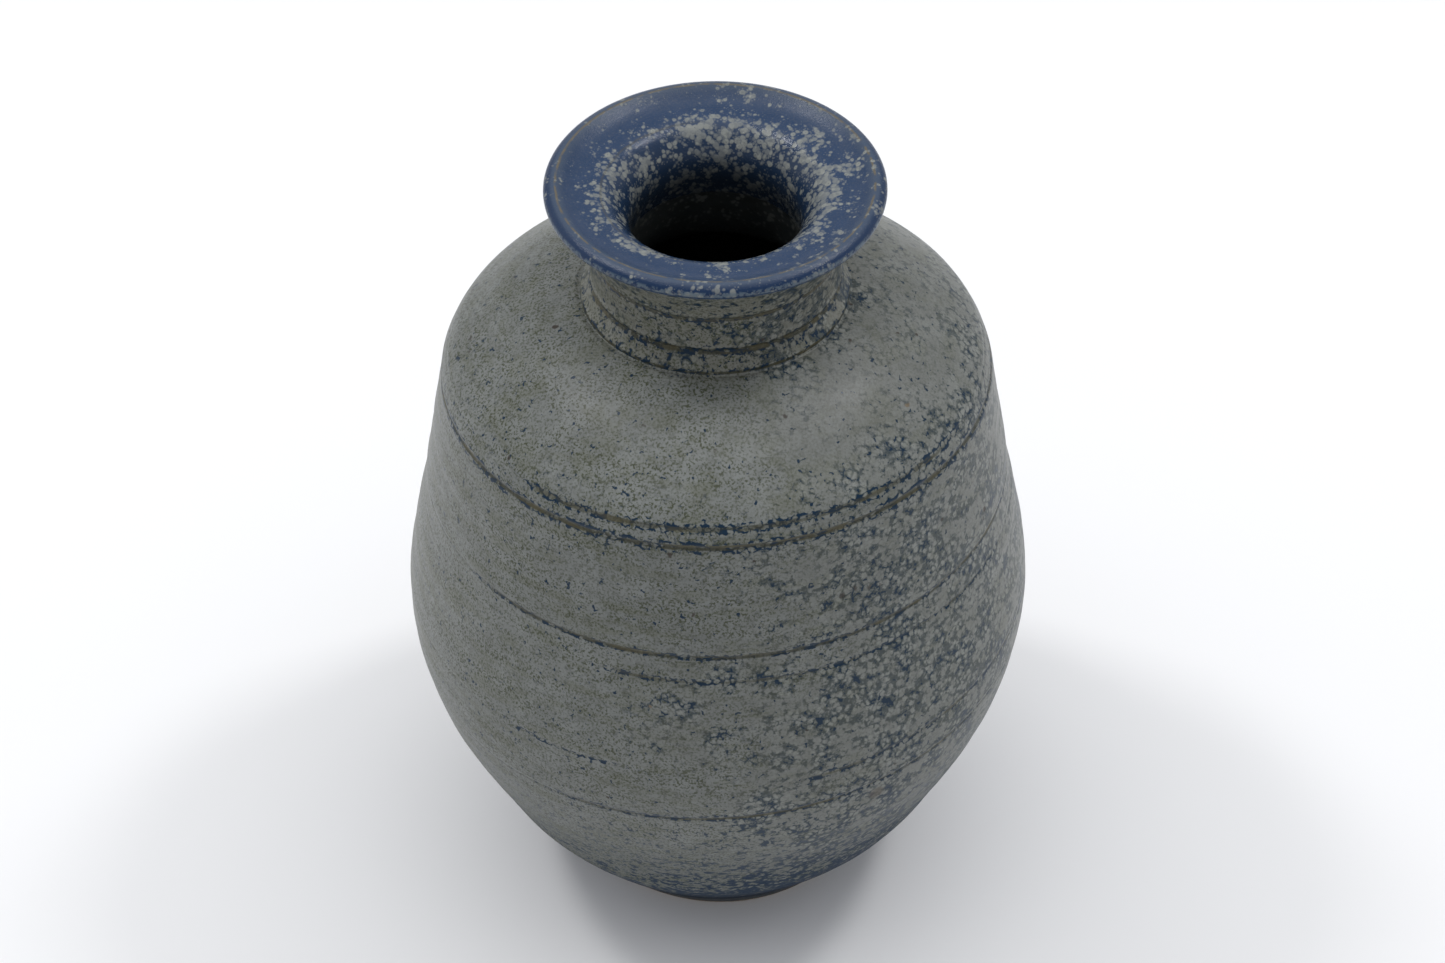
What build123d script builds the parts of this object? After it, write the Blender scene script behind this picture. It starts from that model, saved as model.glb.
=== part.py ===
from build123d import *

import os

# Wheel-thrown stoneware vase with a flared, dished collar, in millimetres.
# The origin is the centre of the foot, on the surface the vase stands on.
# +Z is up, along the axis of the wheel. Outlines are (radius, height) pairs, revolved about Z.

# Driving dimensions
total_height = 180.0
glaze_thickness = 0.5

foot_radius = 34.0
foot_top_radius = 35.4
foot_inner_radius = 27.5
foot_inner_top_radius = 26.5
foot_height = 5.2
foot_round = 0.9
foot_step_radius = 36.9

floor_radius = 32.0
floor_top = 12.0
floor_edge_radius = 25.0

belly_radius = 66.9
belly_height = 74.5
shoulder_radius = 56.7
shoulder_height = 133.2

neck_base_radius = 27.8
neck_base_height = 152.6
neck_radius = 25.2
neck_waist_height = 161.5

collar_joint_height = 170.0
collar_glaze_height = 175.6
throat_glaze_height = 163.0
wall_middle_radius = 22.0
collar_underside_radius = 32.0
collar_underside_height = 176.0
lip_radius = 34.0
lip_height = 178.4
crest_radius = 31.5
dish_radius = 28.0
dish_height = 178.1
ridge_radius = 22.6
ridge_height = 177.2
throat_radius = 17.1
throat_height = 168.3

# Room around the pot for the sketches that cut it into bands, and points along an offset curve
reach = 80.0
margin = 2.0
curve_points = 25

# The outside of the fired pot, from under the foot step up to the crest of the lip
with BuildLine() as outside:
    foot_step = Line((foot_step_radius - margin, foot_height - margin), (foot_step_radius, foot_height))
    belly_curve = Spline(
        foot_step @ 1,
        (42.2, 12.3),
        (50.3, 23.0),
        (56.3, 35.2),
        (62.4, 49.3),
        (65.9, 62.5),
        (belly_radius, belly_height),
        (64.5, 91.5),
        (61.7, 105.6),
        (59.1, 119.7),
        (shoulder_radius, shoulder_height),
    )
    shoulder_curve = Spline(
        belly_curve @ 1,
        (54.9, 137.3),
        (50.4, 141.6),
        (44.2, 146.1),
        (36.2, 150.2),
        (neck_base_radius, neck_base_height),
        tangents=[(-0.3, 1), (-1, 0.22)],
    )
    neck_curve = Spline(
        shoulder_curve @ 1,
        (neck_radius + 0.5, 156.4),
        (neck_radius, neck_waist_height),
        (neck_radius + 0.5, 166.6),
        (neck_radius + 2.4, 171.0),
        (collar_underside_radius, collar_underside_height),
        tangents=[(-0.7, 1), (1, 0.55)],
    )
    lip_curve = Spline(
        neck_curve @ 1,
        (lip_radius, lip_height),
        (crest_radius, total_height),
        tangents=[(1, 0.55), (-1, -0.1)],
    )

# The inside, from the crest down the dished collar and the throat to the middle of the floor
with BuildLine() as inside:
    dish_curve = Spline(
        lip_curve @ 1,
        (dish_radius, dish_height),
        (ridge_radius, ridge_height),
        (19.7, 174.9),
        (17.6, 171.4),
        (throat_radius, throat_height),
        (17.6, 163.7),
        (18.4, 157.0),
        (20.4, 150.2),
        (25.0, 147.0),
        (31.6, 145.2),
        (38.6, 142.2),
        (45.0, 137.9),
        (49.6, 132.0),
        (53.4, 118.0),
        (56.2, 104.8),
        (58.9, 91.0),
        (61.0, 75.0),
        (60.0, 61.5),
        (56.6, 49.2),
        (50.6, 36.2),
        (43.8, 25.2),
        (36.0, 17.4),
        (floor_edge_radius, floor_top + 0.6),
    )
    floor_line = Line(dish_curve @ 1, (0.0, floor_top))


def under_the_glaze(curve, count):
    """Points along a curve, moved one coat of glaze into the wall, which is on the curve's left."""
    points = []
    for step in range(count):
        position = step / (count - 1)
        point = curve @ position
        along = curve % position
        points.append((point.X - along.Y * glaze_thickness, point.Y + along.X * glaze_thickness))
    return points


# The section of the whole pot above the foot ring, glaze and clay together
with BuildSketch() as pot_section:
    with BuildLine():
        add(outside.line)
        add(inside.line)
        Polyline(floor_line @ 1, (0.0, foot_height - margin), foot_step @ 0)
    make_face()

# The section of the clay, one coat of glaze in from every glazed face
with BuildSketch() as clay_section:
    with BuildLine():
        corner = under_the_glaze(foot_step, 2)[0]
        bottom = (0.0, foot_height - margin)
        end = corner
        for curve in (foot_step, belly_curve, shoulder_curve, neck_curve, lip_curve):
            points = under_the_glaze(curve, curve_points)
            Spline(end, *points[1:])
            end = points[-1]
        Spline(end, *under_the_glaze(dish_curve, 5 * curve_points)[1:])
        floor_corner = under_the_glaze(dish_curve, 2)[1]
        floor_middle = (0.0, floor_top - glaze_thickness)
        Polyline(floor_corner, floor_middle, bottom, corner)
    make_face()

# The section of the glaze, outside and inside in one loop over the crest
with BuildSketch() as glaze_section:
    add(pot_section.sketch)
    add(clay_section.sketch, mode=Mode.SUBTRACT)

# The region that the blue collar glaze covers: the lip outside, and the dish and throat inside
with BuildSketch() as collar_glaze_region:
    with BuildLine():
        Polyline(
            (0.0, throat_glaze_height),
            (wall_middle_radius, throat_glaze_height),
            (wall_middle_radius, collar_glaze_height),
            (reach, collar_glaze_height),
            (reach, total_height + margin),
            (0.0, total_height + margin),
            close=True,
        )
    make_face()

# The two coats below the collar glaze
with BuildSketch() as lower_glaze_section:
    add(glaze_section.sketch)
    add(collar_glaze_region.sketch, mode=Mode.SUBTRACT)
inner_coat, outer_coat = lower_glaze_section.faces().sort_by(lambda face: face.bounding_box().max.X)


def keep_band(low, high):
    """Keep what the sketch being made has between two heights."""
    with Locations((0.0, low)):
        Rectangle(reach, high - low, align=(Align.MIN, Align.MIN), mode=Mode.INTERSECT)


def floor_disc(mode):
    """The cylinder of the floor, from the top of the foot ring to above the floor's edge."""
    with Locations((0.0, foot_height)):
        Rectangle(floor_radius, 2 * floor_top, align=(Align.MIN, Align.MIN), mode=mode)


# Trimmed foot ring of bare clay that the vase stands on, with a recess inside it
with BuildPart() as foot_ring:
    with BuildSketch(Plane.XZ) as foot_section:
        with BuildLine():
            Polyline(
                (foot_inner_radius, 0.0),
                (foot_radius, 0.0),
                (foot_top_radius, foot_height),
                (foot_inner_top_radius, foot_height),
                close=True,
            )
        make_face()
        fillet(foot_section.vertices().group_by(Axis.Y)[0], foot_round)
    revolve(axis=Axis.Z)
foot_ring.part.label = "foot_ring"

# Floor of the pot, a disc of clay inside the lower wall
with BuildPart() as base_floor:
    with BuildSketch(Plane.XZ):
        add(clay_section.sketch)
        floor_disc(Mode.INTERSECT)
    revolve(axis=Axis.Z)
base_floor.part.label = "base_floor"

# Thrown wall from the foot ring up to the turned line at the shoulder
with BuildPart() as belly_wall:
    with BuildSketch(Plane.XZ):
        add(clay_section.sketch)
        keep_band(foot_height, shoulder_height)
        floor_disc(Mode.SUBTRACT)
    revolve(axis=Axis.Z)
belly_wall.part.label = "belly_wall"

# Domed shoulder that closes the wall in to the foot of the neck
with BuildPart() as shoulder:
    with BuildSketch(Plane.XZ):
        add(clay_section.sketch)
        keep_band(shoulder_height, neck_base_height)
    revolve(axis=Axis.Z)
shoulder.part.label = "shoulder"

# Short waisted neck
with BuildPart() as neck:
    with BuildSketch(Plane.XZ):
        add(clay_section.sketch)
        keep_band(neck_base_height, collar_joint_height)
    revolve(axis=Axis.Z)
neck.part.label = "neck"

# Flared collar with a rolled lip and a dished top that falls into the throat
with BuildPart() as collar:
    with BuildSketch(Plane.XZ):
        add(clay_section.sketch)
        keep_band(collar_joint_height, total_height)
    revolve(axis=Axis.Z)
collar.part.label = "collar"

# Grey glaze over the belly, shoulder and neck, ending at the foot step
with BuildPart() as outer_glaze:
    with BuildSketch(Plane.XZ):
        add(outer_coat)
        keep_band(foot_height, total_height)
    revolve(axis=Axis.Z)
outer_glaze.part.label = "outer_glaze"

# Blue glaze over the lip, the dish and the throat
with BuildPart() as collar_glaze:
    with BuildSketch(Plane.XZ):
        add(glaze_section.sketch)
        add(collar_glaze_region.sketch, mode=Mode.INTERSECT)
    revolve(axis=Axis.Z)
collar_glaze.part.label = "collar_glaze"

# Liner glaze inside the neck, shoulder, belly and floor
with BuildPart() as inner_glaze:
    with BuildSketch(Plane.XZ):
        add(inner_coat)
    revolve(axis=Axis.Z)
inner_glaze.part.label = "inner_glaze"

os.makedirs("parts", exist_ok=True)
for piece in (
    foot_ring,
    base_floor,
    belly_wall,
    shoulder,
    neck,
    collar,
    outer_glaze,
    collar_glaze,
    inner_glaze,
):
    export_step(piece.part, f"parts/{piece.part.label}.step")
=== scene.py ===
# A stoneware vase with its glazes: closed meshes along one outline, and node materials.

import math

import bpy
import numpy as np
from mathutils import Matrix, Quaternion, Vector


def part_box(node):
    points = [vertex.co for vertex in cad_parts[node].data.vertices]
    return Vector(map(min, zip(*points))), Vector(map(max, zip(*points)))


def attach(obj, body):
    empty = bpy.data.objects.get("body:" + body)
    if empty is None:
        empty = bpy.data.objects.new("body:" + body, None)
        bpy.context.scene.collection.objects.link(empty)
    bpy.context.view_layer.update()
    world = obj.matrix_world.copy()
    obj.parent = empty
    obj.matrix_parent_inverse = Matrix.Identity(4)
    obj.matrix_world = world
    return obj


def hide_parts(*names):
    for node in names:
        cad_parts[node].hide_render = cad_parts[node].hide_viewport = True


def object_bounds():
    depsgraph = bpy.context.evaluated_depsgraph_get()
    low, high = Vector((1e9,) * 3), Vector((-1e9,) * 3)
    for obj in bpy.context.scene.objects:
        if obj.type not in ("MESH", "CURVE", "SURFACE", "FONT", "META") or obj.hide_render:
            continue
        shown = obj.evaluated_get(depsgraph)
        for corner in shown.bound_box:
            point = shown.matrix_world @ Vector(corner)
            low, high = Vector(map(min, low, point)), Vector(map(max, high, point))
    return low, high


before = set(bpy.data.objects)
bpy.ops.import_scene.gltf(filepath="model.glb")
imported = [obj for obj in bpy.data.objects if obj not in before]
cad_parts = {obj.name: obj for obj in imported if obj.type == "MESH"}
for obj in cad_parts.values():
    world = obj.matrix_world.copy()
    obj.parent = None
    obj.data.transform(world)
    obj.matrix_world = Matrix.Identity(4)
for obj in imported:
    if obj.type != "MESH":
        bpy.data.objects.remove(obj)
cad_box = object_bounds()

# One millimetre of the drawing, in metres
DRAWN_HEIGHT = 180.0
MM = (cad_box[1].z - cad_box[0].z) / DRAWN_HEIGHT


def top_of(node):
    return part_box(node)[1].z / MM


def bottom_of(node):
    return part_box(node)[0].z / MM


FOOT_TOP = top_of("foot_ring")
SHOULDER_LINE = top_of("belly_wall")
NECK_LINE = top_of("shoulder")
COLLAR_JOINT = top_of("neck")
BLUE_LINE = top_of("outer_glaze")
LINER_LINE = bottom_of("collar_glaze")
FLOOR_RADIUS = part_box("base_floor")[1].x / MM
COAT = 0.5

# The clay's outside lies this much deeper than the back of the glaze
CLAY_SINK = 0.45


# ---------------------------------------------------------------------------------------------
# The outline: one path from the foot step, up the outside, over the lip and down to the floor
# ---------------------------------------------------------------------------------------------


def spline(points, start=None, end=None):
    """Points 0.1 mm apart on a cubic spline through (radius, height) points, with optional end directions."""
    points = np.array(points, float)
    gaps = np.hypot(*np.diff(points, axis=0).T)
    slopes = np.diff(points, axis=0) / gaps[:, None]
    count = len(points)
    matrix = np.zeros((count, count))
    known = np.zeros((count, 2))
    for i in range(1, count - 1):
        matrix[i, i - 1 : i + 2] = gaps[i], 2 * (gaps[i - 1] + gaps[i]), gaps[i - 1]
        known[i] = 3 * (gaps[i] * slopes[i - 1] + gaps[i - 1] * slopes[i])
    for row, neighbour, direction, slope in ((0, 1, start, slopes[0]), (-1, -2, end, slopes[-1])):
        if direction is None:
            matrix[row, row], matrix[row, neighbour] = 2, 1
            known[row] = 3 * slope
        else:
            matrix[row, row] = 1
            known[row] = np.array(direction) / np.hypot(*direction)
    tangents = np.linalg.solve(matrix, known)
    pieces = []
    for i, gap in enumerate(gaps):
        t = np.linspace(0, 1, max(2, round(gap / 0.1)), endpoint=False)[:, None]
        pieces.append(
            points[i] * (2 * t**3 - 3 * t**2 + 1)
            + tangents[i] * gap * (t**3 - 2 * t**2 + t)
            + points[i + 1] * (3 * t**2 - 2 * t**3)
            + tangents[i + 1] * gap * (t**3 - t**2)
        )
    return np.concatenate(pieces)


BELLY = [
    (36.9, 5.2),
    (42.2, 12.3),
    (50.3, 23.0),
    (56.3, 35.2),
    (62.4, 49.3),
    (65.9, 62.5),
    (66.9, 74.5),
    (64.5, 91.5),
    (61.7, 105.6),
    (59.1, 119.7),
    (56.7, 133.2),
]
SHOULDER = [
    (56.7, 133.2),
    (54.9, 137.3),
    (50.4, 141.6),
    (44.2, 146.1),
    (36.2, 150.2),
    (27.8, 152.6),
]
NECK = [
    (27.8, 152.6),
    (25.7, 156.4),
    (25.2, 161.5),
    (25.7, 166.6),
    (27.6, 171.0),
    (32.0, 176.0),
]
LIP = [(32.0, 176.0), (34.0, 178.4), (31.5, 180.0)]
INSIDE = [
    (31.5, 180.0),
    (28.0, 178.1),
    (22.6, 177.2),
    (19.7, 174.9),
    (17.6, 171.4),
    (17.1, 168.3),
    (17.6, 163.7),
    (18.4, 157.0),
    (20.4, 150.2),
    (25.0, 147.0),
    (31.6, 145.2),
    (38.6, 142.2),
    (45.0, 137.9),
    (49.6, 132.0),
    (53.4, 118.0),
    (56.2, 104.8),
    (58.9, 91.0),
    (61.0, 75.0),
    (60.0, 61.5),
    (56.6, 49.2),
    (50.6, 36.2),
    (43.8, 25.2),
    (36.0, 17.4),
    (25.0, 12.6),
    (0.0, 12.0),
]

outer_line = np.concatenate(
    [
        spline(BELLY),
        spline(SHOULDER, (-0.3, 1), (-1, 0.22)),
        spline(NECK, (-0.7, 1), (1, 0.55)),
        spline(LIP, (1, 0.55), (-1, -0.1)),
    ]
)
inner_line = spline(INSIDE)
PATH = np.concatenate([outer_line, inner_line, [INSIDE[-1]]])
ALONG = np.concatenate([[0], np.cumsum(np.hypot(*np.diff(PATH, axis=0).T))])
CREST = ALONG[len(outer_line)]
END = ALONG[-1]


def softened(values, reach=6):
    """A running mean over the path, so that its few corners have a rounded normal."""
    padded = np.pad(values, ((reach, reach), (0, 0)), mode="edge")
    window = np.ones(2 * reach + 1) / (2 * reach + 1)
    return np.stack([np.convolve(column, window, mode="valid") for column in padded.T], axis=1)


direction = softened(np.gradient(PATH, ALONG, axis=0))
direction /= np.hypot(*direction.T)[:, None]
OUTWARD = np.stack([direction[:, 1], -direction[:, 0]], axis=1)


def outer_at(height):
    """How far along the path the outside reaches a height, in mm."""
    count = len(outer_line)
    return np.interp(height, outer_line[:, 1], ALONG[:count])


def inner_at(height):
    """The same for the inside, on the way down."""
    start = len(outer_line)
    return np.interp(-height, -PATH[start:, 1], ALONG[start:])


# ---------------------------------------------------------------------------------------------
# Relief: throwing rings, turned lines and the slight unevenness of a hand-thrown pot
# ---------------------------------------------------------------------------------------------

# Turned lines: height, rise to the right, depth and half width in mm, and for those that fade, the azimuth
# where they show most and how far they spread from it, in degrees
LINES = [
    (133.3, 0.4, 0.26, 0.50, None),
    (136.9, 0.3, 0.12, 0.40, (15, 60)),
    (107.6, 0.2, 0.20, 0.45, (5, 75)),
    (101.8, -0.2, 0.12, 0.40, (20, 60)),
    (65.6, 3.4, 0.16, 0.45, (10, 60)),
    (74.5, 2.8, 0.10, 0.45, (35, 40)),
    (79.0, 0.5, 0.10, 0.45, (-35, 30)),
    (165.0, 0.3, 0.30, 0.50, None),
    (157.0, 0.2, 0.38, 0.50, None),
    (152.8, 0.2, 0.34, 0.50, None),
]

# A shallow hollow in the belly, between the lines at 107.6 and 101.8
HOLLOW = 104.6


def line_strength(around, fade):
    """How strongly a turned line shows at each azimuth, with a floor so that it runs all the way round."""
    if fade is None:
        return np.ones_like(around)
    centre, spread = np.radians(fade)
    return 0.3 + 0.7 * np.exp((np.cos(around - centre) - 1) / spread**2)


def relief(along, around):
    """How far the fired surface stands out from the outline, in mm. Rows along the path, columns around."""
    s = along[:, None]
    a = around[None, :]
    outside = np.clip((CREST - 6.0 - s) / 12.0, 0, 1)
    body = np.clip((outer_at(NECK_LINE) - 4.0 - s) / 10.0, 0, 1)
    near_foot = np.clip(s / 6.0, 0, 1)

    # Out of round, most of all on the belly and the shoulder
    height = (0.03 + 0.17 * body) * np.cos(2 * a + 0.7 + 0.011 * s)
    height = height + 0.07 * body * np.cos(3 * a - 1.2 + 0.02 * s)
    height = height + 0.04 * np.cos(5 * a + 0.4 + 0.05 * s) * body

    # Throwing rings, fainter above the shoulder's line and inside, and none at the foot
    swell = 0.6 + 0.4 * np.sin(s / 11.0 + 0.8) * np.cos(a + s / 31.0)
    domed = np.clip((s - outer_at(SHOULDER_LINE)) / 6.0, 0, 1)
    rings = 0.050 * np.sin(2 * np.pi * s / 6.6 - a + 0.9 * np.sin(s / 15.0))
    rings = rings + 0.018 * np.sin(2 * np.pi * s / 3.9 - 2 * a + 1.3 * np.sin(s / 9.0 + 1.0))
    rings = rings + 0.080 * np.sin(2 * np.pi * s / 14.5 - a + 2.0)
    height = height + rings * swell * (1 - 0.55 * domed) * (0.2 + 0.8 * outside) * near_foot

    inside_rings = 0.30 * np.sin(2 * np.pi * s / 9.5 - a) * np.clip((s - CREST - 30.0) / 20.0, 0, 1)
    height = height + inside_rings * np.clip((END - s) / 20.0, 0, 1)

    # Turned lines, each with a low burr above it, and the hollow
    for level, rise, depth, half_width, fade in LINES:
        centre = outer_at(level + rise * np.sin(around))[None, :]
        strength = line_strength(around, fade)[None, :]
        away = (s - centre) / half_width
        height = height - depth * strength * np.exp(-(away**2))
        height = height + 0.3 * depth * strength * np.exp(-((away - 2.1) ** 2))
    dent = (s - outer_at(HOLLOW)) / 4.5
    height = height - 0.28 * np.exp(-(dent**2)) * (0.6 + 0.4 * np.abs(np.sin(a)))

    # All of it is sunk a little, to stay close to the size of the CAD model, and fades at the path's ends
    sunk = 0.03
    height = height - sunk
    fixed = np.clip(s / 1.5, 0, 1) * np.clip((END - s) / 15.0, 0, 1)
    crest = np.clip(np.abs(s - CREST) / 5.0, 0.35, 1)
    return height * fixed * crest


def surface(along, around, depth=0.0):
    """Points on the pot's surface, or that many mm under its glaze, in mm."""
    radius = np.interp(along, ALONG, PATH[:, 0])[:, None]
    height = np.interp(along, ALONG, PATH[:, 1])[:, None]
    outward = np.stack([np.interp(along, ALONG, OUTWARD[:, 0]), np.interp(along, ALONG, OUTWARD[:, 1])])
    outward = (outward / np.hypot(*outward))[:, :, None]
    out = relief(along, around) - depth
    r = np.maximum(radius + outward[0] * out, 0.0)
    z = height + outward[1] * out
    a = around[None, :]
    return np.stack([r * np.sin(a), -r * np.cos(a), z * np.ones_like(a)], axis=-1)


def surface_normals(along, around):
    """Unit normals of the relief surface, towards the air."""
    step, angle_step = 0.05, 0.002
    up = surface(along + step, around) - surface(along - step, around)
    turn = surface(along, around + angle_step) - surface(along, around - angle_step)
    normals = np.cross(turn, up)
    return normals / np.maximum(np.linalg.norm(normals, axis=-1, keepdims=True), 1e-9)


def rows_between(start, end, spacing):
    """Places along the path, closer together across each turned line."""
    step, spacing_at_lines = 0.05, 0.28
    fine = np.arange(start, end, step)
    density = np.full(len(fine), 1.0 / spacing)
    for level, rise, _, half_width, _ in LINES:
        low, high = outer_at(level - abs(rise)), outer_at(level + abs(rise))
        reach = 2.5 * half_width
        at_line = (fine > low - reach) & (fine < high + reach)
        density = np.where(at_line, 1.0 / min(spacing, spacing_at_lines), density)
    total = np.concatenate([[0], np.cumsum(density * step)])
    count = max(2, round(total[-1]))
    return np.interp(np.linspace(0, total[-1], count + 1), total, np.append(fine, end))


def circle(count):
    """Azimuths from the back of the pot round to the back, 0 at the front and positive to the right."""
    return np.linspace(-math.pi, math.pi, count, endpoint=False)


# ---------------------------------------------------------------------------------------------
# Meshes
# ---------------------------------------------------------------------------------------------


def build(name, grid, body_material, uv, normals=None):
    """One closed mesh from a grid of points whose rows and columns both close on themselves."""
    rows, columns = grid.shape[:2]
    index = np.arange(rows * columns).reshape(rows, columns)
    low = index
    high = np.roll(index, -1, axis=0)
    quads = np.stack([low, np.roll(low, -1, axis=1), np.roll(high, -1, axis=1), high], axis=-1).reshape(-1, 4)
    mesh = bpy.data.meshes.new(name)
    mesh.from_pydata((grid.reshape(-1, 3) * MM).tolist(), [], quads.tolist())
    layer = mesh.uv_layers.new(name="OFBake")
    layer.data.foreach_set("uv", uv.astype(np.float32).ravel())
    mesh.materials.append(body_material)
    mesh.polygons.foreach_set("use_smooth", np.ones(len(mesh.polygons), bool))
    mesh.update()
    if normals is None:
        mesh.set_sharp_from_angle(angle=math.radians(50))
    else:
        mesh.normals_split_custom_set_from_vertices(normals.reshape(-1, 3).tolist())
    piece = bpy.data.objects.new(name, mesh)
    bpy.context.scene.collection.objects.link(piece)
    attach(piece, "root")
    return piece


def strips(front_rows, back_rows, columns, count, share=0.9):
    """UVs of a closed skin: the front in `count` strips round the pot, one above the other, then the back."""
    margin = 0.006
    rows = front_rows + back_rows
    row, column = np.meshgrid(np.arange(rows), np.arange(columns), indexing="ij")
    per_strip = columns / count
    strip = np.minimum((column // per_strip).astype(int), count - 1)
    corners = []
    for down, across in ((0, 0), (0, 1), (1, 1), (1, 0)):
        across_share = (column + across - strip * per_strip) / per_strip
        front_share = (row + down) / (front_rows - 1)
        front_v = share * (strip + margin + (1 - 2 * margin) * front_share) / count
        back_share = (row - front_rows + 1 + down) / (back_rows + 1)
        back_v = share + (1 - share) * (0.08 + 0.88 * back_share)
        is_front = row < front_rows - 1
        front_u = margin + (1 - 2 * margin) * across_share
        back_u = margin + 0.98 * (column + across) / columns
        uv = [np.where(is_front, front_u, back_u), np.where(is_front, front_v, back_v)]
        corners.append(np.stack(uv, axis=-1))
    return np.stack(corners, axis=2).reshape(-1, 2)


def coat(name, start, end, spacing, columns, strip_count, material, node):
    """A coat of glaze on one stretch of the path: a detailed face and a back face one coat deeper."""
    around = circle(columns)
    front = rows_between(start, end, spacing)
    back = np.linspace(end, start, max(3, len(front) // 4))
    grid = np.concatenate([surface(front, around), surface(back, around, COAT)])
    normals = np.concatenate([surface_normals(front, around), -surface_normals(back, around)])
    uv = strips(len(front), len(back), columns, strip_count)
    piece = build(name, grid, material, uv, normals)
    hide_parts(node)


def clay(name, node, outer_range, inner_range, corners=()):
    """The clay of one band of the wall, outside and inside, under their coats of glaze."""
    around = circle(144)
    outside = np.linspace(*outer_range, max(4, round((outer_range[1] - outer_range[0]) / 1.5)))
    inside = np.linspace(*inner_range, max(4, round((inner_range[1] - inner_range[0]) / 2.5)))
    loops = [surface(outside, around, COAT + CLAY_SINK), surface(inside, around, COAT)]
    for radius, height in corners:
        level = np.full_like(around, height)
        ring = np.stack([radius * np.sin(around), -radius * np.cos(around), level], axis=-1)
        loops.append(ring[None])
    grid = np.concatenate(loops)
    uv = strips(len(outside), len(grid) - len(outside), len(around), 2, 0.6)
    piece = build(name, grid, fired, uv)
    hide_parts(node)


# ---------------------------------------------------------------------------------------------
# Materials
# ---------------------------------------------------------------------------------------------


class Recipe:
    """A node material under construction. Lengths in it are in millimetres, in the pot's own frame."""

    def __init__(self, name):
        self.material = bpy.data.materials.new(name)
        self.material.use_nodes = True
        self.tree = self.material.node_tree
        self.tree.nodes.clear()
        place = self.node("ShaderNodeTexCoord").outputs["Object"]
        self.place = self.vector("SCALE", place, scale=1 / MM)
        x, y, self.height = self.split(self.place)
        self.radius = self.math("SQRT", self.add(self.times(x, x), self.times(y, y)))
        safe = self.math("MAXIMUM", self.radius, 0.01)
        self.side = self.math("DIVIDE", x, safe)
        self.front = self.math("MULTIPLY", self.math("DIVIDE", y, safe), -1.0)

    def node(self, kind, inputs=None, **settings):
        made = self.tree.nodes.new(kind)
        for key, value in settings.items():
            setattr(made, key, value)
        for key, value in (inputs or {}).items():
            self.feed(made.inputs[key], value)
        return made

    def feed(self, socket, value):
        if isinstance(value, bpy.types.NodeSocket):
            self.tree.links.new(value, socket)
        else:
            socket.default_value = value

    def math(self, operation, *values):
        return self.node("ShaderNodeMath", dict(enumerate(values)), operation=operation).outputs[0]

    def add(self, *values):
        total = values[0]
        for value in values[1:]:
            total = self.math("ADD", total, value)
        return total

    def times(self, *values):
        total = values[0]
        for value in values[1:]:
            total = self.math("MULTIPLY", total, value)
        return total

    def vector(self, operation, *values, scale=None):
        made = self.node("ShaderNodeVectorMath", dict(enumerate(values)), operation=operation)
        if scale is not None:
            self.feed(made.inputs["Scale"], scale)
        return made.outputs[1 if operation == "DISTANCE" else 0]

    def split(self, vector):
        made = self.node("ShaderNodeSeparateXYZ", {0: vector})
        return made.outputs[0], made.outputs[1], made.outputs[2]

    def join(self, x, y, z):
        return self.node("ShaderNodeCombineXYZ", {0: x, 1: y, 2: z}).outputs[0]

    def ease(self, value, low, high, bottom=0.0, top=1.0):
        """Smooth step of value from low to high; low may be the larger."""
        made = self.node(
            "ShaderNodeMapRange",
            {"Value": value, "From Min": low, "From Max": high, "To Min": bottom, "To Max": top},
            interpolation_type="SMOOTHSTEP",
        )
        return made.outputs["Result"]

    def noise(self, vector, scale, detail=2.0, roughness=0.5):
        made = self.node(
            "ShaderNodeTexNoise", {"Vector": vector, "Scale": scale, "Detail": detail, "Roughness": roughness}
        )
        return made.outputs[0]

    def cells(self, vector, scale, feature="F1", output="Distance"):
        made = self.node("ShaderNodeTexVoronoi", {"Vector": vector, "Scale": scale}, feature=feature)
        return made.outputs[output]

    def chance(self, vector, scale):
        """A random number from 0 to 1 for each cell of the same cells."""
        return self.split(self.cells(vector, scale, output="Color"))[0]

    def specks(self, vector, scale, size, rarity):
        """Dots in the middle of some of the cells. Each range is for an ease: of distance, and of chance."""
        near = self.ease(self.cells(vector, scale), *size)
        return self.times(near, self.ease(self.chance(vector, scale), *rarity))

    def warped(self, vector, scale, amount):
        made = self.node("ShaderNodeTexNoise", {"Vector": vector, "Scale": scale, "Detail": 1.0})
        shift = self.vector("SUBTRACT", made.outputs["Color"], (0.5, 0.5, 0.5))
        return self.vector("ADD", vector, self.vector("SCALE", shift, scale=2 * amount))

    def banded(self, reach, stretch=1.0):
        """Coordinates that are stretched around the pot, for marks drawn out by the wheel."""
        return self.join(
            self.times(self.side, reach), self.times(self.front, reach), self.times(self.height, stretch)
        )

    def mix(self, amount, below, above):
        made = self.node("ShaderNodeMix", data_type="RGBA", clamp_factor=True)
        for socket, value in zip((made.inputs[0], made.inputs[6], made.inputs[7]), (amount, below, above)):
            self.feed(socket, value)
        return made.outputs[2]

    def spot(self, azimuth, height, radius, soft, place=None):
        """A round mark on the outside, 1 in its middle, out to `soft` of its radius."""
        reach = np.interp(outer_at(height), ALONG, PATH[:, 0])
        angle = math.radians(azimuth)
        centre = (reach * math.sin(angle), -reach * math.cos(angle), height)
        distance = self.vector("DISTANCE", place or self.place, centre)
        return self.ease(distance, radius, radius * soft)

    def turned_line(self, level, rise, reach, flat):
        """How far a turned line is, in mm, and 1 near it. Below it the wall runs out `flat` per mm."""
        line = self.add(self.times(self.side, rise), level)
        below = self.math("SUBTRACT", line, self.height)
        away = self.math("MAXIMUM", self.times(below, flat), self.times(below, -1.0))
        return away, self.ease(away, reach, 0.0)

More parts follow.
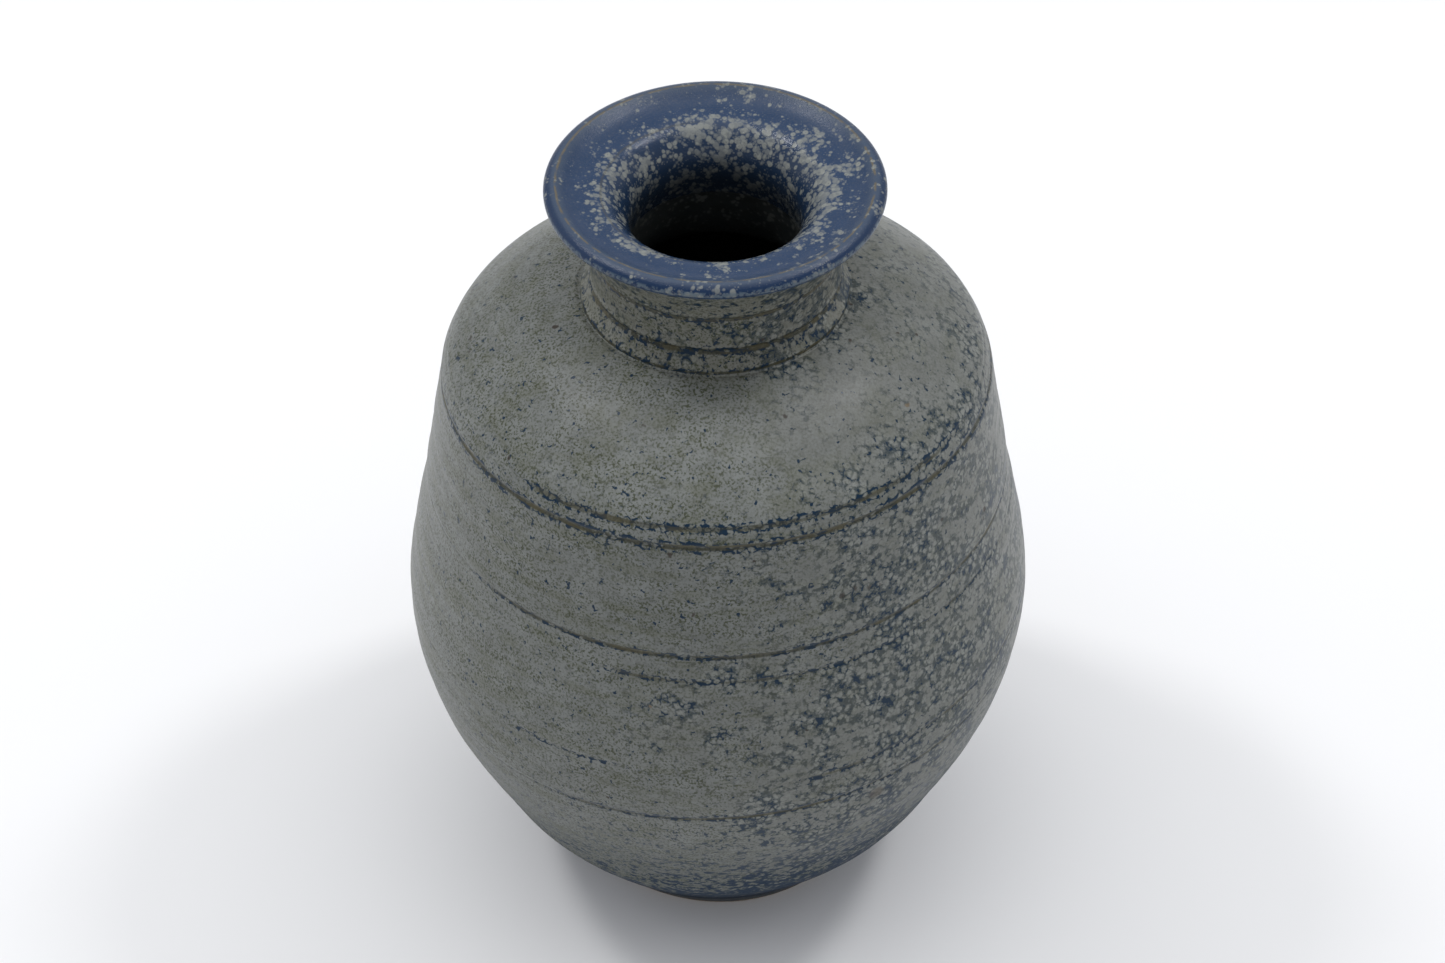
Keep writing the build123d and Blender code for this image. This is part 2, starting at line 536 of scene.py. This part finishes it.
    def finish(self, colour, roughness, height, bump_distance, specular=0.5):
        bump = self.node(
            "ShaderNodeBump", {"Height": height, "Distance": bump_distance * MM, "Strength": 1.0}
        )
        shader = self.node(
            "ShaderNodeBsdfPrincipled",
            {
                "Base Color": colour,
                "Roughness": roughness,
                "Specular IOR Level": specular,
                "Normal": bump.outputs[0],
            },
        )
        output = self.node("ShaderNodeOutputMaterial")
        self.tree.links.new(shader.outputs[0], output.inputs["Surface"])
        return self.material


def rgb(red, green, blue):
    return (red, green, blue, 1.0)


COBALT = rgb(0.001, 0.017, 0.041)
SLATE = rgb(0.017, 0.032, 0.041)
OLIVE = rgb(0.036, 0.036, 0.020)
TAN = rgb(0.074, 0.066, 0.036)
IRON = rgb(0.030, 0.020, 0.014)


def grey_glaze():
    """Pale crystals grown together over blue, which is left between cells, in lines and towards the foot."""
    r = Recipe("grey_glaze_cells")
    warp = r.warped(r.warped(r.place, 0.7, 0.55), 2.2, 0.20)
    slow = r.noise(r.place, 0.045, 2.0)
    patches = r.noise(r.place, 0.13, 3.0, 0.6)
    mottle = r.noise(r.place, 0.5, 3.0, 0.65)
    grain = r.noise(r.place, 2.0, 2.0, 0.6)
    sparks = r.noise(r.place, 0.75, 1.0)
    streaks = r.noise(r.banded(14.0), 0.36, 3.0, 0.65)
    fine_streaks = r.noise(r.banded(16.0), 1.1, 2.0, 0.6)
    onto_shoulder = r.ease(r.height, 126.0, 140.0)
    right = r.ease(r.add(r.side, r.times(r.add(slow, -0.5), 1.6), r.times(onto_shoulder, -0.32)), -0.32, 0.52)
    neck = r.ease(r.height, 151.8, 153.2)
    low = r.ease(r.height, 62.0, 16.0)
    shoulder_edge = r.times(r.ease(r.height, 128.0, 134.0), r.ease(r.height, 148.0, 138.0))

    # Cells: how far it is to the nearest gap between crystals, how far out from a cell's middle a place is,
    # and how near it is to a corner of the gaps
    cell_scale = 0.68
    edge = r.cells(warp, cell_scale, "DISTANCE_TO_EDGE")
    out = r.cells(warp, cell_scale)
    corner = r.ease(out, 0.30, 0.78)

    # How much blue comes up: more at the right, towards the foot, at the shoulder's edge and beside the lines
    drift = r.add(r.times(patches, 0.45), r.times(mottle, 0.35), r.times(streaks, 0.20))
    closed = r.times(r.ease(r.height, 139.0, 146.0), r.ease(r.height, 152.6, 151.6))
    blue = r.times(
        r.ease(drift, 0.53, 0.62),
        r.add(r.times(right, 0.60), 0.06),
        r.add(r.times(closed, -0.8), r.times(shoulder_edge, -0.80), 1.0),
    )
    blue = r.add(blue, r.times(r.ease(sparks, 0.64, 0.72), 0.38))
    blotches = r.ease(mottle, 0.50, 0.64)
    blue = r.add(blue, r.times(shoulder_edge, blotches, r.add(r.times(right, 0.10), 0.12)))
    blue = r.add(blue, r.times(neck, blotches, 0.35))
    below = r.times(r.ease(r.height, 80.0, 42.0), r.ease(mottle, 0.48, 0.62))
    blue = r.add(blue, r.times(below, r.add(r.times(right, 0.44), 0.34)))
    olive = 0.0
    tan = 0.0

    # The colours of each of LINES: its core and the core's half width, the blue fringe beside it and the
    # fringe's width, the sides between which it shows, and how flat the wall is just below it
    line_looks = (
        (1.0, 0.75, 1.20, 1.8, (-1.0, 1.0), 1.0),
        (0.70, 0.60, 1.20, 1.3, (-0.65, 0.85), 1.0),
        (0.9, 0.70, 1.00, 1.1, (-0.75, 1.0), 1.0),
        (0.4, 0.50, 0.90, 1.0, (-0.35, 0.9), 1.0),
        (0.6, 0.60, 0.95, 1.4, (-0.5, 0.8), 1.0),
        (0.45, 0.60, 0.85, 1.5, (0.25, 1.0), 1.0),
        (0.1, 0.50, 0.90, 0.8, (-0.65, -0.3), 1.0),
        (0.9, 0.70, 0.85, 1.2, (-1.0, 1.0), 1.0),
        (1.0, 0.80, 1.00, 1.3, (-1.0, 1.0), 1.0),
        (1.0, 0.75, 0.90, 1.3, (-1.0, 1.0), 7.0),
    )
    for (level, rise, *_), (core, half, fringe, width, limit, flat) in zip(LINES, line_looks, strict=True):
        away, near = r.turned_line(level, rise, width, flat)
        shown = r.times(
            r.ease(r.side, limit[0] - 0.12, limit[0] + 0.12), r.ease(r.side, limit[1] + 0.12, limit[1] - 0.12)
        )
        broken = r.add(r.times(r.ease(fine_streaks, 0.44, 0.60), fringe), 0.15 * fringe)
        blue = r.add(blue, r.times(r.ease(near, 0.0, 0.6), shown, broken))
        line = r.times(r.ease(away, half, 0.5 * half), shown, core)
        olive = r.math("MAXIMUM", r.times(line, r.ease(fine_streaks, 0.62, 0.46)), olive)
        tan = r.math("MAXIMUM", r.times(line, r.ease(streaks, 0.48, 0.60)), tan)

    # The grey itself, in mottles of a few millimetres
    warm = r.mix(r.ease(patches, 0.3, 0.7), rgb(0.150, 0.159, 0.151), rgb(0.187, 0.197, 0.188))
    cool = r.mix(r.ease(patches, 0.3, 0.7), rgb(0.151, 0.158, 0.147), rgb(0.188, 0.196, 0.183))
    colour = r.mix(right, warm, cool)
    colour = r.mix(r.times(neck, 0.8), colour, rgb(0.175, 0.175, 0.146))
    # Painted shade: the grey turns darker towards the bottom of the belly
    colour = r.mix(r.ease(r.height, 74.0, 34.0, 0.0, 0.34), colour, rgb(0.082, 0.092, 0.092))
    colour = r.mix(r.times(r.ease(mottle, 0.42, 0.62), 0.28), colour, rgb(0.098, 0.102, 0.090))
    streaked = r.times(r.ease(streaks, 0.46, 0.64), r.add(r.times(right, -0.15), 0.46))
    colour = r.mix(streaked, colour, rgb(0.104, 0.109, 0.074))
    open_share = r.times(
        r.add(r.times(right, r.add(r.times(shoulder_edge, -0.25), 0.76)), r.times(neck, 0.36), 0.18),
        r.ease(drift, 0.42, 0.58, 0.25, 1.1),
        r.add(r.times(closed, -0.60), 1.0),
    )
    island = r.times(r.ease(out, 0.50, 0.20), r.ease(open_share, 0.1, 0.8), 0.46)
    colour = r.mix(island, colour, rgb(0.275, 0.288, 0.268))

    # Dark ground between the crystals: open on the right and on the neck, nearly closed on the left
    cluster = r.spot(33.0, 116.5, 11.0, 0.2)
    opened = r.add(open_share, r.times(cluster, 0.35))
    blue = r.add(blue, r.times(cluster, r.ease(mottle, 0.46, 0.60), 0.50))
    fray = r.noise(r.place, 1.3, 2.0, 0.6)
    depth = r.add(out, r.add(mottle, -0.5), r.times(r.add(fray, -0.5), 0.7), r.times(opened, 0.50))
    bluish = r.math("MAXIMUM", r.ease(patches, 0.40, 0.60), r.times(right, 0.85))
    ground = r.mix(bluish, rgb(0.036, 0.038, 0.026), SLATE)
    colour = r.mix(r.times(r.ease(depth, 0.66, 1.06), r.ease(opened, 0.0, 0.7, 0.12, 0.68)), colour, ground)
    gap = r.times(r.ease(edge, 0.24, 0.0), r.ease(opened, 0.15, 0.8, 0.0, 0.30))
    colour = r.mix(gap, colour, ground)
    middle = r.ease(out, 0.13, 0.05)
    colour = r.mix(r.times(middle, r.ease(opened, 0.10, 0.5, 0.0, 0.45)), colour, rgb(0.070, 0.075, 0.070))

    # Fine olive grain in bands, pinpoints and iron spots
    band = r.ease(r.noise(r.banded(7.0), 0.55, 2.0, 0.6), 0.34, 0.60)
    grained = r.add(r.times(band, r.ease(right, 1.0, 0.0), 0.46), r.times(right, -0.24), 0.44)
    colour = r.mix(r.times(r.ease(grain, 0.49, 0.62), grained), colour, rgb(0.043, 0.050, 0.024))
    colour = r.mix(r.times(r.ease(grain, 0.45, 0.30), 0.30), colour, rgb(0.213, 0.226, 0.222))
    pinpoint = r.specks(r.place, 0.55, (0.09, 0.04), (0.80, 0.84))
    colour = r.mix(r.times(pinpoint, 0.85), colour, IRON)
    iron = r.specks(warp, 0.22, (0.13, 0.06), (0.84, 0.86))
    colour = r.mix(r.times(iron, 0.8), colour, IRON)

    # Cobalt fills the corners first and then the gaps, then the lines' own olive and tan
    filled = r.times(r.math("MINIMUM", blue, 0.85), r.add(r.times(corner, 0.36), 0.07))
    over = r.math("SUBTRACT", filled, edge)
    cobalt = r.ease(over, -0.01, 0.07)
    halo = r.times(r.ease(over, -0.14, 0.03), r.ease(blue, 0.05, 0.45))
    colour = r.mix(r.times(halo, 0.55), colour, SLATE)
    colour = r.mix(r.times(cobalt, 0.95), colour, COBALT)
    washes = r.add(r.times(r.noise(r.banded(28.0, 0.80), 1.15, 1.0, 0.5), 0.62), r.times(drift, 0.38))
    washed = r.add(
        washes,
        r.times(low, 0.10),
        r.times(right, low, 0.05),
        r.ease(r.side, -0.1, -0.8, 0.0, -0.05),
        r.times(r.ease(r.height, 30.0, 8.0), 0.15),
    )
    wash = r.times(r.ease(washed, 0.57, 0.65), r.ease(low, 0.0, 0.5), 0.90)
    colour = r.mix(wash, colour, rgb(0.005, 0.021, 0.050))
    # Painted shade: near-black blue darkening towards the foot, for the shaded underside
    colour = r.mix(r.ease(r.height, 24.0, 6.0, 0.0, 0.8), colour, rgb(0.006, 0.012, 0.022))
    colour = r.mix(r.times(olive, 0.80), colour, OLIVE)
    colour = r.mix(r.times(tan, 0.85), colour, TAN)

    # Marks of its own: pinholes, a chip, iron patches and a rust spot
    rough = r.warped(r.place, 1.1, 0.5)
    dark = 0.0
    for azimuth, height, radius, amount in (
        (-72.0, 151.0, 0.9, 0.9),
        (-9.4, 131.4, 0.7, 0.75),
        (7.2, 130.1, 0.55, 0.8),
        (65.5, 113.6, 0.75, 1.0),
        (64.2, 112.2, 0.55, 1.0),
        (14.3, 136.9, 0.55, 0.7),
        (24.5, 117.6, 0.9, 0.6),
        (27.5, 118.4, 0.9, 0.6),
        (30.5, 117.2, 0.8, 0.6),
        (33.0, 116.6, 0.7, 0.5),
    ):
        dark = r.math("MAXIMUM", dark, r.times(r.spot(azimuth, height, radius, 0.5, rough), amount))
    colour = r.mix(dark, colour, IRON)
    brown = r.spot(29.8, 62.9, 2.4, 0.5, rough)
    colour = r.mix(r.times(brown, 0.6), colour, rgb(0.065, 0.050, 0.036))
    rust = r.spot(-12.5, 95.2, 0.5, 0.4, rough)
    rust = r.math("MAXIMUM", rust, r.spot(54.2, 144.4, 0.8, 0.4, rough))
    colour = r.mix(r.times(rust, 0.7), colour, rgb(0.150, 0.105, 0.055))

    height = r.add(
        r.times(r.ease(edge, 0.0, 0.2), open_share, 0.5),
        r.times(grain, 0.3),
        r.times(r.add(dark, pinpoint), -1.2),
        r.times(olive, -0.4),
    )
    roughness = r.add(r.times(cobalt, -0.10), r.times(patches, 0.12), r.times(low, 0.40), 0.33)
    return r.finish(colour, roughness, height, 0.035, specular=0.22)


def blue_glaze():
    """Cobalt glaze with pale crystals that crowd towards the throat, and a tan line where it breaks."""
    r = Recipe("blue_glaze_crystals")
    warp = r.warped(r.place, 0.9, 0.18)
    patches = r.noise(r.place, 0.16, 2.0, 0.6)
    clumps = r.noise(r.place, 0.40, 1.0, 0.5)
    fine = r.noise(r.place, 2.2, 2.0, 0.6)

    throat = r.times(r.ease(r.radius, 26.5, 22.5), r.ease(r.radius, 16.6, 18.5, 0.55, 1.0))
    right = r.ease(r.add(r.side, r.times(r.front, -0.55)), -0.35, 0.75)
    outward = r.times(right, r.ease(r.radius, 31.5, 26.0))
    lip = r.times(r.ease(r.height, 179.1, 178.6), r.ease(r.radius, 33.0, 33.3))
    bare = r.times(r.ease(r.radius, 24.5, 27.0), r.ease(r.side, 0.2, -0.6))
    dense = r.add(
        r.times(throat, 0.22),
        r.times(outward, 0.12),
        r.times(lip, 0.10),
        r.times(r.add(clumps, -0.5), 1.25),
        r.times(r.add(patches, -0.5), 1.1),
        r.times(bare, -0.10),
        0.02,
    )

    # Round crystals with soft edges, and a finer scatter between them
    crystal_scale = 0.80
    crystals = r.ease(r.math("SUBTRACT", r.add(dense, 0.16), r.cells(warp, crystal_scale)), -0.12, 0.16)
    dots = r.ease(r.math("SUBTRACT", r.add(dense, 0.10), r.cells(warp, 1.6)), -0.12, 0.20)
    spots = r.math("MAXIMUM", crystals, r.times(dots, 0.60))
    strength = r.add(r.times(r.chance(warp, crystal_scale), 0.40), 0.58)

    deep = r.mix(r.noise(r.place, 0.35, 3.0), rgb(0.013, 0.034, 0.079), rgb(0.029, 0.052, 0.105))
    deep = r.mix(r.times(r.ease(fine, 0.45, 0.66), 0.38), deep, rgb(0.052, 0.066, 0.100))
    deep = r.mix(r.ease(r.radius, 23.5, 18.5, 0.0, 0.7), deep, rgb(0.006, 0.019, 0.046))
    colour = r.mix(r.ease(r.radius, 32.2, 33.0), deep, rgb(0.006, 0.023, 0.066))
    wobble = r.times(r.add(clumps, -0.5), 0.5)
    crest_radius, ridge_radius = 31.6, 22.7
    crest = r.math("ABSOLUTE", r.add(r.radius, -crest_radius, wobble))
    colour = r.mix(r.times(r.ease(crest, 1.9, 0.2), 0.45), colour, rgb(0.075, 0.098, 0.130))
    tan_line = r.times(r.ease(crest, 0.34, 0.12), r.ease(clumps, 0.30, 0.55), 0.75)
    colour = r.mix(tan_line, colour, rgb(0.130, 0.108, 0.066))
    pale = r.mix(r.noise(r.place, 1.2, 2.0), rgb(0.130, 0.140, 0.134), rgb(0.285, 0.295, 0.270))
    colour = r.mix(r.times(spots, strength), colour, pale)
    centre = r.times(r.ease(r.cells(warp, crystal_scale), 0.14, 0.05), crystals)
    colour = r.mix(r.times(centre, 0.45), colour, rgb(0.050, 0.060, 0.070))
    ridge = r.math("ABSOLUTE", r.add(r.radius, -ridge_radius, wobble))
    colour = r.mix(r.times(r.ease(ridge, 0.35, 0.1), r.ease(r.side, 0.1, -0.5), 0.35), colour, TAN)
    band = r.times(lip, r.ease(r.noise(r.place, 1.1, 2.0, 0.6), 0.40, 0.56))
    colour = r.mix(r.times(band, 0.75), colour, rgb(0.100, 0.135, 0.165))
    hem = r.ease(r.height, 177.95, 177.65)
    colour = r.mix(r.times(hem, r.ease(r.radius, 29.0, 30.0), 0.9), colour, rgb(0.010, 0.032, 0.085))
    # Painted shade: the throat's inner wall turns near black going down into the pot
    throat_shade = r.times(r.ease(r.height, 175.0, 166.0), r.ease(r.radius, 22.0, 19.0))
    colour = r.mix(r.times(throat_shade, 0.66), colour, rgb(0.012, 0.016, 0.018))

    height = r.add(r.times(spots, 0.4), r.times(r.noise(r.place, 3.0, 2.0, 0.6), 0.9))
    roughness = r.add(r.times(spots, 0.14), r.times(patches, 0.05), r.ease(r.radius, 24.5, 27.0, 0.08, 0.26))
    return r.finish(colour, roughness, height, 0.07, specular=0.26)


def liner_glaze():
    """Liner with throwing marks, and crystals that thin out below the throat, all kept very dark as painted
    shade of the pot's inside.
    """
    r = Recipe("liner_glaze_specks")
    warp = r.warped(r.place, 0.9, 0.18)
    patches = r.noise(r.place, 0.15, 3.0, 0.6)
    clumps = r.noise(r.place, 0.40, 1.0, 0.5)
    rings = r.noise(r.banded(6.0), 0.6, 2.0)
    # Painted shade: the liner's colours are set near black for the dark inside of the pot
    colour = r.mix(patches, rgb(0.010, 0.014, 0.018), rgb(0.030, 0.033, 0.030))
    colour = r.mix(r.times(r.ease(rings, 0.45, 0.7), 0.4), colour, rgb(0.012, 0.013, 0.010))
    upper = r.ease(r.height, 148.0, 163.0)
    dense = r.add(r.times(upper, 0.20), r.times(r.add(clumps, -0.5), 1.1), 0.14)
    crystals = r.ease(r.math("SUBTRACT", dense, r.cells(warp, 0.90)), -0.12, 0.16)
    colour = r.mix(r.times(crystals, r.add(r.times(upper, 0.5), 0.3)), colour, rgb(0.090, 0.094, 0.086))
    speck = r.specks(r.place, 1.6, (0.28, 0.12), (0.6, 0.8))
    colour = r.mix(r.times(speck, 0.5), colour, IRON)
    height = r.add(rings, r.times(r.noise(r.place, 2.0, 2.0), 0.4))
    return r.finish(colour, r.add(r.times(patches, 0.15), 0.33), height, 0.06)


def bare_clay():
    """Fired stoneware without glaze: buff, gritty, with iron specks and trimming lines."""
    r = Recipe("fired_stoneware")
    grain = r.noise(r.place, 1.6, 4.0, 0.65)
    trimming = r.noise(r.banded(5.0), 1.6, 2.0)
    colour = r.mix(grain, rgb(0.23, 0.165, 0.110), rgb(0.36, 0.275, 0.195))
    colour = r.mix(r.times(r.ease(trimming, 0.5, 0.75), 0.35), colour, rgb(0.20, 0.140, 0.090))
    speck = r.specks(r.place, 1.3, (0.26, 0.12), (0.7, 0.8))
    colour = r.mix(r.times(speck, 0.8), colour, rgb(0.060, 0.038, 0.024))
    toast = r.ease(r.height, 3.2, 5.2)
    colour = r.mix(r.times(toast, 0.4), colour, rgb(0.20, 0.105, 0.050))

    # The glaze ran down over the outer face of the foot and was wiped off under it
    run = r.times(r.ease(r.radius, 33.5, 34.0), r.ease(r.add(r.height, r.times(trimming, -0.8)), 0.1, 0.9))
    glaze = r.mix(r.noise(r.banded(20.0), 0.85, 3.0, 0.6), rgb(0.018, 0.028, 0.040), rgb(0.080, 0.088, 0.086))
    colour = r.mix(run, colour, glaze)
    height = r.add(grain, r.times(trimming, 0.6), r.times(r.noise(r.place, 5.0, 2.0), 0.5))
    return r.finish(colour, r.add(r.times(grain, 0.15), r.times(run, -0.25), 0.74), height, 0.10)


grey = grey_glaze()
blue = blue_glaze()
liner = liner_glaze()
fired = bare_clay()

# ---------------------------------------------------------------------------------------------
# The pot
# ---------------------------------------------------------------------------------------------

low_cut, middle_cut = outer_at(60.0), outer_at(HOLLOW)
shoulder_cut, neck_cut, blue_cut = outer_at(SHOULDER_LINE), outer_at(NECK_LINE), outer_at(BLUE_LINE)
liner_cut = inner_at(LINER_LINE)
widest = len(outer_line) + int(np.argmax(inner_line[:, 0]))
floor_edge = float(np.interp(-FLOOR_RADIUS, -PATH[widest:, 0], ALONG[widest:]))

for name, start, end, spacing, columns, strip_count in (
    ("glaze_lower_belly", 0.0, low_cut, 0.70, 360, 2),
    ("glaze_middle_belly", low_cut, middle_cut, 0.60, 360, 3),
    ("glaze_upper_belly", middle_cut, shoulder_cut, 0.45, 360, 4),
    ("glaze_shoulder", shoulder_cut, neck_cut, 0.45, 360, 3),
    ("glaze_neck", neck_cut, blue_cut, 0.30, 256, 3),
):
    coat(name, start, end, spacing, columns, strip_count, grey, "outer_glaze")
coat("glaze_collar", blue_cut, liner_cut, 0.30, 288, 2, blue, "collar_glaze")
coat("glaze_liner", liner_cut, END - 0.02, 2.0, 180, 2, liner, "inner_glaze")

joint_cut = outer_at(COLLAR_JOINT)
inner_shoulder, inner_neck, inner_joint = inner_at(SHOULDER_LINE), inner_at(NECK_LINE), inner_at(COLLAR_JOINT)
clay(
    "clay_belly_wall",
    "belly_wall",
    (0.0, shoulder_cut),
    (inner_shoulder, floor_edge),
    corners=[(FLOOR_RADIUS, FOOT_TOP)],
)
clay("clay_shoulder", "shoulder", (shoulder_cut, neck_cut), (inner_neck, inner_shoulder))
clay("clay_neck", "neck", (neck_cut, joint_cut), (inner_joint, inner_neck))
clay("clay_collar", "collar", (joint_cut, CREST), (CREST + 0.3, inner_joint))


def foot():
    """The trimmed foot ring: bevelled, slightly uneven, with turning marks under it."""
    around = circle(240)
    outline = [
        (27.0, 1.1),
        (27.4, 0.45),
        (28.2, 0.1),
        (29.4, 0.0),
        (31.0, 0.0),
        (32.6, 0.0),
        (33.4, 0.15),
        (34.0, 0.6),
        (34.25, 1.4),
        (34.5, 2.4),
        (34.9, 3.6),
        (35.3, 4.6),
        (35.4, 5.2),
        (31.0, 5.2),
        (26.5, 5.2),
        (26.6, 4.4),
        (26.75, 3.2),
        (26.9, 2.0),
    ]
    rings = []
    front_rows, drawn_top = 13, 5.2
    for number, (radius, height) in enumerate(outline):
        loose = 0.0 if height == 0.0 else 1.0
        wave = 0.09 * np.cos(3 * around + number * 0.7) + 0.05 * np.cos(7 * around - number * 1.9)
        mark = 0.06 * math.sin(number * 2.4)
        reach = radius + loose * (wave + mark)
        level = np.full_like(around, height * FOOT_TOP / drawn_top)
        rings.append(np.stack([reach * np.sin(around), -reach * np.cos(around), level], axis=-1))
    grid = np.stack(rings)
    uv = strips(front_rows, len(outline) - front_rows, len(around), 2, 0.7)
    piece = build("foot_ring_trimmed", grid, fired, uv)
    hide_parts("foot_ring")


foot()
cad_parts["base_floor"].material_slots[0].material = fired

# ---------------------------------------------------------------------------------------------
# Floor, light and camera
# ---------------------------------------------------------------------------------------------


def studio_floor():
    mesh = bpy.data.meshes.new("studio_floor")
    reach = 6.0
    mesh.from_pydata(
        [(-reach, -reach, 0.0), (reach, -reach, 0.0), (reach, reach, 0.0), (-reach, reach, 0.0)],
        [],
        [(0, 1, 2, 3)],
    )
    material = bpy.data.materials.new("pale_floor")
    material.use_nodes = True
    shader = material.node_tree.nodes["Principled BSDF"]
    shader.inputs["Base Color"].default_value = rgb(0.86, 0.86, 0.86)
    shader.inputs["Roughness"].default_value = 0.9
    mesh.materials.append(material)
    floor = bpy.data.objects.new("studio_floor", mesh)
    bpy.context.scene.collection.objects.link(floor)


def soft_light(name, place, size, power):
    aim = (0.0, 0.0, 0.1)
    light = bpy.data.lights.new(name, "AREA")
    light.shape = "RECTANGLE"
    light.size, light.size_y = size
    light.energy = power
    lamp = bpy.data.objects.new(name, light)
    lamp.location = place
    lamp.rotation_euler = (Vector(aim) - Vector(place)).to_track_quat("-Z", "Y").to_euler()
    bpy.context.scene.collection.objects.link(lamp)


studio_floor()
soft_light("overhead", (0.0, 0.1, 1.9), (2.4, 2.0), 16.0)
soft_light("high_left", (-0.75, 0.22, 1.35), (0.22, 0.22), 5.0)
soft_light("high_right", (0.75, 0.22, 1.35), (0.22, 0.22), 5.0)
soft_light("side_left", (-1.3, 0.3, 0.55), (1.2, 1.0), 1.9)
soft_light("side_right", (1.3, 0.3, 0.55), (1.2, 1.0), 1.2)

world = bpy.data.worlds.new("studio")
world.use_nodes = True
world.node_tree.nodes["Background"].inputs["Color"].default_value = rgb(0.92, 0.94, 1.0)
world.node_tree.nodes["Background"].inputs["Strength"].default_value = 0.50
bpy.context.scene.world = world
bpy.context.scene.view_settings.view_transform = "Standard"

camera_data = bpy.data.cameras.new("camera")
camera_data.lens = 85.0
camera_data.sensor_width = 36.0
# The share of the frame's width by which the pot's axis stands left of the middle
camera_data.shift_x = 5.2 / 1445.0
camera_data.clip_start = 0.01
camera = bpy.data.objects.new("camera", camera_data)
elevation = math.radians(42.98)
tilt = math.radians(-0.407)
distance = 727.9 * MM
target = Vector((0.0, 0.0, 98.56 * MM))
camera.location = target + distance * Vector((0.0, -math.cos(elevation), math.sin(elevation)))
facing = (target - camera.location).to_track_quat("-Z", "Y")
camera.rotation_mode = "QUATERNION"
camera.rotation_quaternion = facing @ Quaternion((0.0, 0.0, 1.0), tilt)
bpy.context.scene.collection.objects.link(camera)
bpy.context.scene.camera = camera
